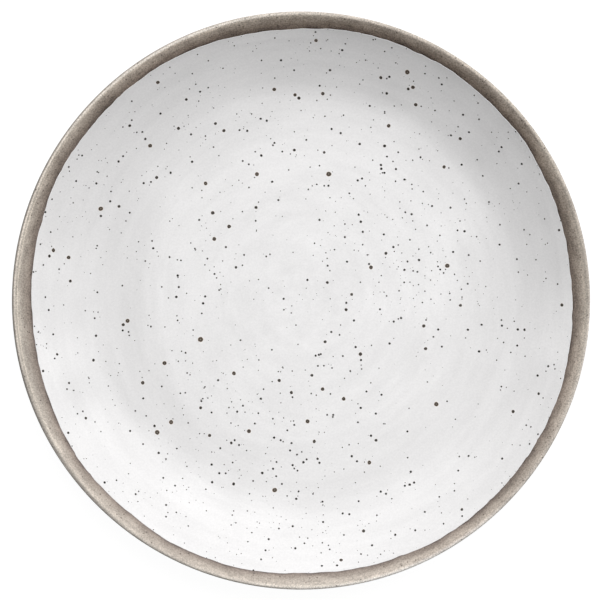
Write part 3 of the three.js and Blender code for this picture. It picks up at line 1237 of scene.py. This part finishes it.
@dataclass(kw_only=True)
class FaceGlaze(PouredCoat):
    """The white coat on the eating face, with the soft spiral that the potter's fingers left."""

    line: GlazeLine
    name: str = "face_glaze_coat"
    thickness: float = 0.45
    edge_run: float = 0.2
    edge_thickness: float = 0.07
    taper_run: float = 3.4
    spiral_pitch: float = 6.5
    spiral_depth: float = 0.008
    spiral_centre: tuple[float, float] = (3.5, 0.0)
    spiral_fade: float = 62.0
    grey_ring_radius: float = 65.0
    grey_ring_widths: tuple[float, float] = (9.0, 11.0)
    grey_ring_turn: float = math.radians(205)
    grey_ring: float = 0.9
    grey_ring_flanks: float = 0.3
    grey_wall: float = 0.42
    grey_wall_ends: tuple[float, float] = (58.0, 76.0)
    # Painted shade that greys the side which the lamp lights most.
    lit_side_painted_shade: float = 0.13
    lit_side_turn: float = math.radians(220)
    lit_side_reach: float = 35.0
    grey_edge: float = 0.22
    white_edge: float = 0.2
    edge_band_width: float = 5.0
    top_steps: int = 80
    taper_steps: int = 12
    bottom_steps: int = 30

    def lift(self, radius: Numbers, angle: Numbers) -> np.ndarray:
        """Height of the coat's top above the clay, with its spiral and its thinning edge.

        Args:
            radius: distances from the axis.
            angle: radians from +X.

        Returns:
            Millimetres above the clay.
        """
        across = radius * np.cos(angle) - self.spiral_centre[0]
        up = radius * np.sin(angle) - self.spiral_centre[1]
        reach = np.hypot(across, up)
        wave = np.cos(TURN * reach / self.spiral_pitch - np.arctan2(up, across))
        fade = np.exp(-(reach / self.spiral_fade) ** 4) * np.clip(reach / self.spiral_pitch, 0, 1)
        share = np.clip((self.line.radius(angle) - radius) / self.taper_run, 0, 1)
        full = self.thickness + self.spiral_depth * wave * fade
        return self.edge_thickness + (full - self.edge_thickness) * share * (2 - share)

    def build(self) -> bpy.types.Object:
        """Pours the coat.

        Returns:
            The coat's object, with its greying attribute, partly painted shade, and its shown attribute.
        """
        edge = self.line.radius(ANGLES)
        full = edge - self.edge_run
        inner = np.linspace(0, 1, self.top_steps, endpoint=False)[None, :] * (full - self.taper_run)
        taper = full - np.linspace(self.taper_run, 0, self.taper_steps)[None, :]
        top = np.concatenate([inner, taper], axis=1)
        below = np.linspace(1, 0, self.bottom_steps)[None, :] * full
        return self.poured([
            self.profile.over(top, self.lift(top, ANGLES)),
            self.profile.over(*self.nose(edge, self.lift(full, ANGLES))),
            self.profile.over(below, -self.sink),
        ], ring=False)

    def mark(self, mesh: bpy.types.Mesh) -> None:
        """Writes where the coat is greyer or whiter, with painted shade on the side the lamp lights most,
        and which side of it shows.

        Args:
            mesh: the poured coat.
        """
        places = vertex_rows(mesh, "co") / MM
        radius = np.hypot(places[:, 0], places[:, 1])
        angle = np.arctan2(places[:, 1], places[:, 0])
        # Greyer in a broad ring round the foot of the wall, most at the left.
        off = radius - self.grey_ring_radius
        ring = np.exp(-(off / np.where(off < 0, *self.grey_ring_widths)) ** 2)
        lean = (1 + np.cos(angle - self.grey_ring_turn)) / 2 + self.grey_ring_flanks * np.cos(2 * angle)
        # Greyer up the wall.
        climb = np.interp(radius, self.grey_wall_ends, (0, 1))
        wall = climb * climb * (3 - 2 * climb)
        # Painted shade on the side which the lamp lights most.
        side = (1 + np.cos(angle - self.lit_side_turn)) / 2 * np.clip(radius / self.lit_side_reach, 0, 1)
        # Greyer near the glaze line on the upper half, whiter near it at the left and right.
        rim = np.exp(-((self.line.mean - radius) / self.edge_band_width) ** 2)
        rim *= self.grey_edge * np.clip(np.sin(angle), 0, 1) - self.white_edge * np.cos(angle) ** 4
        thin = self.grey_ring * ring * lean + self.grey_wall * wall + self.lit_side_painted_shade * side + rim
        thin += sum(patch.spread(places) for patch in GLAZE_PATCHES)
        write_values(mesh, Attribute.THIN, np.minimum(thin, 1))
        shown = (places[:, 2] > self.profile.face(radius)[0] + self.edge_thickness / 2) * 1.0
        for drift in SPECK_DRIFTS:
            shown *= 1 + drift.spread(places)
        write_values(mesh, Attribute.SHOWN, shown)


@dataclass(kw_only=True)
class OutsideGlaze(PouredCoat):
    """The white coat on the outside of the wall, between the bare lip and the bare foot."""

    line: GlazeLine
    name: str = "outside_glaze_coat"
    skin_steps: int = 40
    back_steps: int = 6

    def build(self) -> bpy.types.Object:
        """Pours the coat.

        Returns:
            The coat's object.
        """
        under = self.profile.under
        edge = self.line.radius(ANGLES)
        start = np.full_like(edge, self.profile.outside_glaze_start)
        inner, outer = start + self.edge_run, edge - self.edge_run
        ahead = np.linspace(0, 1, self.skin_steps)[None, :]
        homewards = np.linspace(1, 0, self.back_steps)[None, :]
        foot_nose, foot_drop = self.nose(start, self.thickness)
        return self.poured([
            under(inner + ahead * (outer - inner), self.thickness),
            under(*self.nose(edge, self.thickness)),
            under(inner + homewards * (outer - inner), -self.sink),
            under(2 * start - foot_nose, foot_drop)[:, ::-1],
        ], ring=True)

    def mark(self, mesh: bpy.types.Mesh) -> None:
        """Writes which side of the coat shows."""
        write_values(mesh, Attribute.SHOWN, (vertex_rows(mesh, "normal")[:, 2] < 0) * 1.0)


@dataclass(kw_only=True)
class BaseGlaze(PouredCoat):
    """The white coat on the underside of the floor, inside the foot ring."""

    edge: float
    name: str = "base_glaze_coat"
    skin_steps: int = 40
    back_steps: int = 5

    def build(self) -> bpy.types.Object:
        """Pours the coat.

        Returns:
            The coat's object.
        """
        edge = np.full((ANGLE_STEPS // 2, 1), self.edge)
        full = edge - self.edge_run
        skin = np.linspace(0, 1, self.skin_steps)[None, :] * full
        back = np.linspace(1, 0, self.back_steps)[None, :] * full
        stretches = []
        for radius, drop in ((skin, self.thickness), self.nose(edge, self.thickness), (back, -self.sink)):
            height = self.profile.recess_depth - drop
            stretches.append(np.stack(np.broadcast_arrays(radius, height), -1))
        return self.poured(stretches, ring=False)

    def mark(self, mesh: bpy.types.Mesh) -> None:
        """Writes which side of the coat shows."""
        middle = self.profile.recess_depth - self.thickness / 2
        write_values(mesh, Attribute.SHOWN, (vertex_rows(mesh, "co")[:, 2] / MM < middle) * 1.0)


@dataclass
class IronSpecks:
    """Iron grains in one coat: a few placed one by one, the rest strewn by rule."""

    name: str
    material: bpy.types.Material
    seed: int
    per_square_cm: float
    smallest: float = 0.19
    growth: float = 0.365
    largest: float = 1.08
    proud: float = 0.02
    rooted: float = 0.12
    clearance: float = 0.0
    sides: int = 16
    ragged: float = 0.1
    ragged_size: float = 0.8
    drift_size: float = 38.0
    drift_range: tuple[float, float] = (0.3, 0.7)
    drift_swing: float = 0.25
    narrowest: float = 0.92
    widest: float = 1.07
    shade_swing: float = 0.3
    dark_width: float = 1.22
    pale_width: float = 1.86
    pale_share: float = 0.7
    grey_width: float = 1.0
    rusty_width: float = 1.55
    least_rust: float = 0.28
    most_rust: float = 1.0

    def strewing_tree(self) -> bpy.types.NodeTree:
        """The rule of the specks: many small, few large, in loose drifts, each a flat ragged grain.

        Returns:
            A geometry tree that strews grains over the shown side of a coat.
        """
        tree, add, given = new_tree("strewn_iron_specks", {
            "Geometry": "Geometry", "Placed": "Object", "Density": "Float", "Smallest": "Float",
            "Growth": "Float", "Proud": "Float", "Rooted": "Float", "Clearance": "Float", "Seed": "Int",
            "Material": "Material"})
        seed = given["Seed"]
        told = {}
        for attribute, kind in ((Attribute.SHOWN, "FLOAT"), (Attribute.GRAIN, "FLOAT"),
                                (Attribute.LEAN, "FLOAT_VECTOR")):
            told[attribute] = add("GeometryNodeInputNamedAttribute", {"Name": attribute.value},
                                  data_type=kind)
        shown, width, lean = told.values()

        # Grains by chance: rare values of the draw give the broad ones.
        noise = add("ShaderNodeTexNoise", {"Scale": 1 / (self.drift_size * MM)}, "Fac")
        drift = add("ShaderNodeMapRange", {
            "Value": noise, "From Min": self.drift_range[0], "From Max": self.drift_range[1],
            "To Min": 1 - self.drift_swing, "To Max": 1 + self.drift_swing})
        local = add("ShaderNodeMath", {0: drift, 1: given["Density"]}, operation="MULTIPLY")
        where = add("ShaderNodeMath", {0: local, 1: shown}, operation="MULTIPLY")
        strewn = add("GeometryNodeDistributePointsOnFaces",
                     {"Mesh": given["Geometry"], "Density": where, "Seed": seed},
                     distribute_method="RANDOM").node.outputs
        least = math.exp((self.smallest - self.largest) / self.growth)
        chance = add("FunctionNodeRandomValue", {2: least, 3: 1.0, "Seed": seed}, 1, data_type="FLOAT")
        rare = add("ShaderNodeMath", {0: chance, 1: math.e}, operation="LOGARITHM")
        extra = add("ShaderNodeMath", {0: rare, 1: given["Growth"]}, operation="MULTIPLY")
        grain = add("ShaderNodeMath", {0: given["Smallest"], 1: extra}, operation="SUBTRACT")
        points = strewn["Points"]
        for attribute, kind, value in ((Attribute.GRAIN, "FLOAT", grain),
                                       (Attribute.LEAN, "FLOAT_VECTOR", strewn["Normal"])):
            points = add("GeometryNodeStoreNamedAttribute",
                         {"Geometry": points, "Name": attribute.value, "Value": value},
                         data_type=kind, domain="POINT")

        # Grains placed one by one join them, each with clear glaze around it and a number of its own for
        # the draws below.
        placed = add("GeometryNodeObjectInfo", {"Object": given["Placed"]}, "Geometry")
        dots = add("GeometryNodeMeshToPoints", {"Mesh": placed})
        near = add("GeometryNodeProximity", {0: dots}, "Distance", target_element="POINTS")
        crowded = add("ShaderNodeMath", {0: near, 1: given["Clearance"]}, operation="LESS_THAN")
        free = add("GeometryNodeDeleteGeometry", {"Geometry": points, "Selection": crowded},
                   domain="POINT")
        order = add("GeometryNodeInputIndex")
        numbered = add("GeometryNodeSetID", {"Geometry": dots, "ID": order})
        seeds = add("GeometryNodeJoinGeometry", {0: [free, numbered]})

        # One grain: a flat disc that stands a little proud, with its bleed from the middle to the edge.
        depth = add("ShaderNodeMath", {0: given["Proud"], 1: given["Rooted"]}, operation="ADD")
        disc = add("GeometryNodeMeshCylinder", {"Vertices": self.sides, "Radius": 0.5, "Depth": depth},
                   fill_type="TRIANGLE_FAN")
        middle = add("ShaderNodeMath", {0: depth, 1: -0.5, 2: given["Proud"]}, operation="MULTIPLY_ADD")
        down = add("ShaderNodeCombineXYZ", {"Z": middle})
        seated = add("GeometryNodeSetPosition", {"Geometry": disc, "Offset": down})
        place = add("GeometryNodeInputPosition")
        flat = add("ShaderNodeVectorMath", {0: place, 1: (2, 2, 0)}, operation="MULTIPLY")
        reach = add("ShaderNodeVectorMath", {0: flat}, "Value", operation="LENGTH")
        bled = add("GeometryNodeStoreNamedAttribute",
                   {"Geometry": seated, "Name": Attribute.BLEED.value, "Value": reach},
                   data_type="FLOAT", domain="POINT")

        # Each grain lies flat on the glaze, stretched a little, and is toned by its width.
        upright = add("FunctionNodeAlignRotationToVector", {"Vector": lean}, axis="Z")
        stretch = add("FunctionNodeRandomValue", {
            0: (self.narrowest, self.narrowest, 1), 1: (self.widest, self.widest, 1), "Seed": seed},
            data_type="FLOAT_VECTOR")
        across = add("ShaderNodeCombineXYZ", {"X": width, "Y": width, "Z": 1.0})
        scale = add("ShaderNodeVectorMath", {0: across, 1: stretch}, operation="MULTIPLY")
        grains = add("GeometryNodeInstanceOnPoints",
                     {"Points": seeds, "Instance": bled, "Rotation": upright, "Scale": scale})
        shade = add("FunctionNodeRandomValue", {2: 0.0, 3: self.shade_swing, "Seed": seed}, 1,
                    data_type="FLOAT")
        broad = add("ShaderNodeMapRange", {
            "Value": width, "From Min": self.dark_width * MM, "From Max": self.pale_width * MM,
            "To Max": self.pale_share})
        tone = add("ShaderNodeMath", {0: shade, 1: broad}, operation="ADD")
        rust = add("ShaderNodeMapRange", {
            "Value": width, "From Min": self.grey_width * MM, "From Max": self.rusty_width * MM,
            "To Min": self.least_rust, "To Max": self.most_rust})
        for attribute, value in ((Attribute.TONE, tone), (Attribute.WARMTH, rust)):
            grains = add("GeometryNodeStoreNamedAttribute",
                         {"Geometry": grains, "Name": attribute.value, "Value": value},
                         data_type="FLOAT", domain="INSTANCE")

        # A rough outline, pushed only in the plane of the grain.
        real = add("GeometryNodeRealizeInstances", {"Geometry": grains})
        rough = add("ShaderNodeTexNoise", {"Scale": 1 / (self.ragged_size * MM)}, "Color",
                    noise_dimensions="3D")
        even = add("ShaderNodeVectorMath", {0: rough, 1: (0.5, 0.5, 0.5)}, operation="SUBTRACT")
        above = add("ShaderNodeVectorMath", {0: even, 1: lean}, operation="PROJECT")
        level = add("ShaderNodeVectorMath", {0: even, 1: above}, operation="SUBTRACT")
        reached = add("ShaderNodeMath", {0: width, 1: self.ragged * 2}, operation="MULTIPLY")
        push = add("ShaderNodeVectorMath", {0: level, "Scale": reached}, operation="SCALE")
        ragged = add("GeometryNodeSetPosition", {"Geometry": real, "Offset": push})
        end_tree(add, ragged, given["Material"])
        return tree

    def strew(self, coat: bpy.types.Object, placed: bpy.types.Object) -> bpy.types.Object:
        """Strews the grains over a coat.

        Args:
            coat: the coat's object.
            placed: an object whose points are grains placed one by one. It is removed.

        Returns:
            The specks' object.
        """
        mesh = grown_mesh(coat, self.strewing_tree(), {
            "Placed": placed, "Density": self.per_square_cm / SQUARE_CM, "Smallest": self.smallest * MM,
            "Growth": self.growth * MM, "Proud": self.proud * MM, "Rooted": self.rooted * MM,
            "Clearance": self.clearance * MM, "Seed": self.seed, "Material": self.material})
        bpy.data.objects.remove(placed)
        mesh.name = self.name
        return linked_object(self.name, mesh)


def placed_specks(profile: PlateProfile, coat: FaceGlaze, view: PhotoView) -> bpy.types.Object:
    """Puts the listed specks on the face coat.

    Args:
        profile: the plate's section.
        coat: the coat that carries them.
        view: the view in which they were read.

    Returns:
        An object with one point for each speck, its width and its lean.
    """
    half_pixel = 0.5
    width_spread = 0.09
    seed = 31
    draw = np.random.default_rng(seed)
    places, leans, widths = [], [], []
    for size, pixels in LANDMARKS.items():
        for across, down in pixels:
            aside, below = draw.uniform(-half_pixel, half_pixel, 2)
            share = draw.uniform(1 - width_spread, 1 + width_spread)
            x, y = view.on_face(across + aside, down + below, profile)
            radius, angle = math.hypot(x, y), math.atan2(y, x)
            reach, height = profile.over(radius, coat.lift(radius, angle))
            sine = profile.face(radius)[1]
            places.append((reach * math.cos(angle) * MM, reach * math.sin(angle) * MM, height * MM))
            leans.append((-sine * math.cos(angle), -sine * math.sin(angle), math.sqrt(1 - sine ** 2)))
            widths.append(size.value * share * MM)
    points = bpy.data.meshes.new("placed_specks")
    points.from_pydata(places, [], [])
    write_values(points, Attribute.LEAN, np.array(leans))
    write_values(points, Attribute.GRAIN, np.array(widths))
    return linked_object("placed_specks", points)


def no_specks() -> bpy.types.Object:
    """An object without points, for a coat whose specks are all strewn."""
    return linked_object("no_placed_specks", bpy.data.meshes.new("no_placed_specks"))


@dataclass
class Studio:
    """A white studio: one broad soft lamp high at the back, a pale floor and a white surround."""

    lamp_turn: float = math.radians(70)
    lamp_height: float = math.radians(54)
    lamp_width: float = math.radians(55)
    lamp_strength: float = 3.74
    fill: float = 0.02
    floor_reach: float = 3.0
    floor_glow: float = 0.97
    seen_colour: str = "#606060"
    bounced_colour: str = "#d8d8d8"
    white: str = "#ffffff"

    def seen_share(self, add: Adder) -> Socket:
        """Tells the rays that see from those that carry light to the plate.

        Args:
            add: adds a node to the tree.

        Returns:
            1 for a ray from the camera, a mirror or glass, 0 for any other.
        """
        path = add("ShaderNodeLightPath").node.outputs
        either = add("ShaderNodeMath", {0: path["Is Camera Ray"], 1: path["Is Glossy Ray"]},
                     operation="MAXIMUM")
        return add("ShaderNodeMath", {0: either, 1: path["Is Transmission Ray"]}, operation="MAXIMUM")

    def hang_lamp(self) -> None:
        """Hangs the broad lamp."""
        data = bpy.data.lights.new("broad_soft_lamp", "SUN")
        data.energy = self.lamp_strength
        data.angle = self.lamp_width
        lamp = linked_object("broad_soft_lamp", data)
        flat = math.cos(self.lamp_height)
        towards = Vector((flat * math.cos(self.lamp_turn), flat * math.sin(self.lamp_turn),
                          math.sin(self.lamp_height)))
        lamp.rotation_euler = towards.to_track_quat("Z", "Y").to_euler()
        lamp.location = towards

    def surround(self) -> None:
        """Sets the white surround, which gives the plate only a weak fill."""
        world = bpy.data.worlds.new("white_surround")
        world.use_nodes = True
        add = partial(add_node, world.node_tree)
        ground = world.node_tree.nodes["Background"]
        ground.inputs["Color"].default_value = linear(self.white)
        strength = add("ShaderNodeMapRange",
                       {"Value": self.seen_share(add), "To Min": self.fill, "To Max": 1.0})
        world.node_tree.links.new(strength, ground.inputs["Strength"])
        bpy.context.scene.world = world

    def board(self) -> bpy.types.Material:
        """Matt white studio board.

        Returns:
            The material.
        """
        # The board looks white to the eye from above, takes the plate's soft shadow, lights the plate's
        # underside as pale board does, and lets a view from below through.
        material = bpy.data.materials.new("matt_white_studio_board")
        material.use_nodes = True
        tree = material.node_tree
        tree.nodes.remove(tree.nodes["Principled BSDF"])
        add = partial(add_node, tree)
        strength = add("ShaderNodeMath", {0: self.seen_share(add), 1: self.floor_glow},
                       operation="MULTIPLY")
        glow = add("ShaderNodeEmission", {"Color": linear(self.white), "Strength": strength})
        diffuse = add("ShaderNodeLightPath", None, "Is Diffuse Ray")
        colour = add("ShaderNodeMix", {0: diffuse, 6: linear(self.seen_colour),
                                       7: linear(self.bounced_colour)}, 2, data_type="RGBA")
        matt = add("ShaderNodeBsdfDiffuse", {"Color": colour})
        front = add("ShaderNodeAddShader", {0: glow, 1: matt})
        below = add("ShaderNodeNewGeometry", None, "Backfacing")
        clear = add("ShaderNodeBsdfTransparent")
        faced = add("ShaderNodeMixShader", {0: below, 1: front, 2: clear})
        tree.links.new(faced, tree.nodes["Material Output"].inputs["Surface"])
        return material

    def lay_floor(self) -> None:
        """Lays the floor."""
        reach = self.floor_reach
        mesh = bpy.data.meshes.new("pale_studio_floor")
        corners = [(-reach, -reach, 0), (reach, -reach, 0), (reach, reach, 0), (-reach, reach, 0)]
        mesh.from_pydata(corners, [], [(0, 1, 2, 3)])
        mesh.materials.append(self.board())
        linked_object("pale_studio_floor", mesh)

    def build(self) -> None:
        """Sets up lamp, surround and floor."""
        self.hang_lamp()
        self.surround()
        self.lay_floor()


def report(piece: bpy.types.Object, slot: Slot, *nodes: str) -> None:
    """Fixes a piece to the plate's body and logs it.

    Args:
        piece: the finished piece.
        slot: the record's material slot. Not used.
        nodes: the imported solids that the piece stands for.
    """
    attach(piece, BODY)
    if nodes:
        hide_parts(*nodes)
    log.info("%s: %d faces", piece.name, len(piece.data.polygons))


def plate_profile() -> PlateProfile:
    """Reads the plate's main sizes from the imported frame.

    Returns:
        The plate's section.
    """
    glaze_bond = 0.03
    foot = frame["record"]["mounts"][0]["pos_m"]
    return PlateProfile(
        rim_radius=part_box("clay_body")[1].x / MM,
        foot_middle=math.hypot(foot[0], foot[1]) / MM,
        recess_depth=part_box("base_glaze")[1].z / MM + glaze_bond,
    )


def main() -> None:
    """Builds the plate piece by piece, then the studio around it."""
    logging.basicConfig(level=logging.INFO, format="%(name)s %(message)s")
    bpy.context.scene.view_settings.view_transform = "Standard"
    bare_inside = 5.8
    bare_outside = 7.5
    profile = plate_profile()
    inside = GlazeLine(profile.rim_radius - bare_inside, (
        Lobe(1, 0.41, -30), Lobe(2, 0.42, -163), Lobe(4, 0.46, -156), Lobe(8, 0.2, -134),
        Lobe(16, 0.06, -132)), seed=11)
    outside = GlazeLine(profile.rim_radius - bare_outside, (
        Lobe(1, 0.5, 100), Lobe(3, 0.45, 35), Lobe(7, 0.25, -60)), seed=12)
    base_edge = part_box("base_glaze")[1].x / MM
    view = PhotoView()
    bpy.context.scene.camera = view.camera(profile, CAD_HIGH.z / MM)

    clay = BareStoneware(rim_radius=profile.rim_radius)
    report(ClayBody(profile, inside, outside, base_edge, clay).build(), Slot.CLAY, "clay_body")
    shared = {"profile": profile, "material": SatinWhiteGlaze().material()}
    face = FaceGlaze(line=inside, **shared)
    coats = {
        "face_glaze": face,
        "outside_glaze": OutsideGlaze(line=outside, **shared),
        "base_glaze": BaseGlaze(edge=base_edge, **shared),
    }
    poured = {}
    for node, coat in coats.items():
        poured[node] = coat.build()
        report(poured[node], Slot.GLAZE, node)

    iron = IronSpeck().material()
    on_face = IronSpecks("face_iron_specks", iron, seed=21, per_square_cm=5.4, clearance=1.4)
    on_outside = IronSpecks("outside_iron_specks", iron, seed=22, per_square_cm=5.2, largest=2.0)
    on_base = IronSpecks("base_iron_specks", iron, seed=23, per_square_cm=5.2, largest=2.0)
    report(on_face.strew(poured["face_glaze"], placed_specks(profile, face, view)), Slot.GLAZE)
    report(on_outside.strew(poured["outside_glaze"], no_specks()), Slot.GLAZE)
    report(on_base.strew(poured["base_glaze"], no_specks()), Slot.GLAZE)

    Studio().build()


if __name__ == "__main__":
    main()
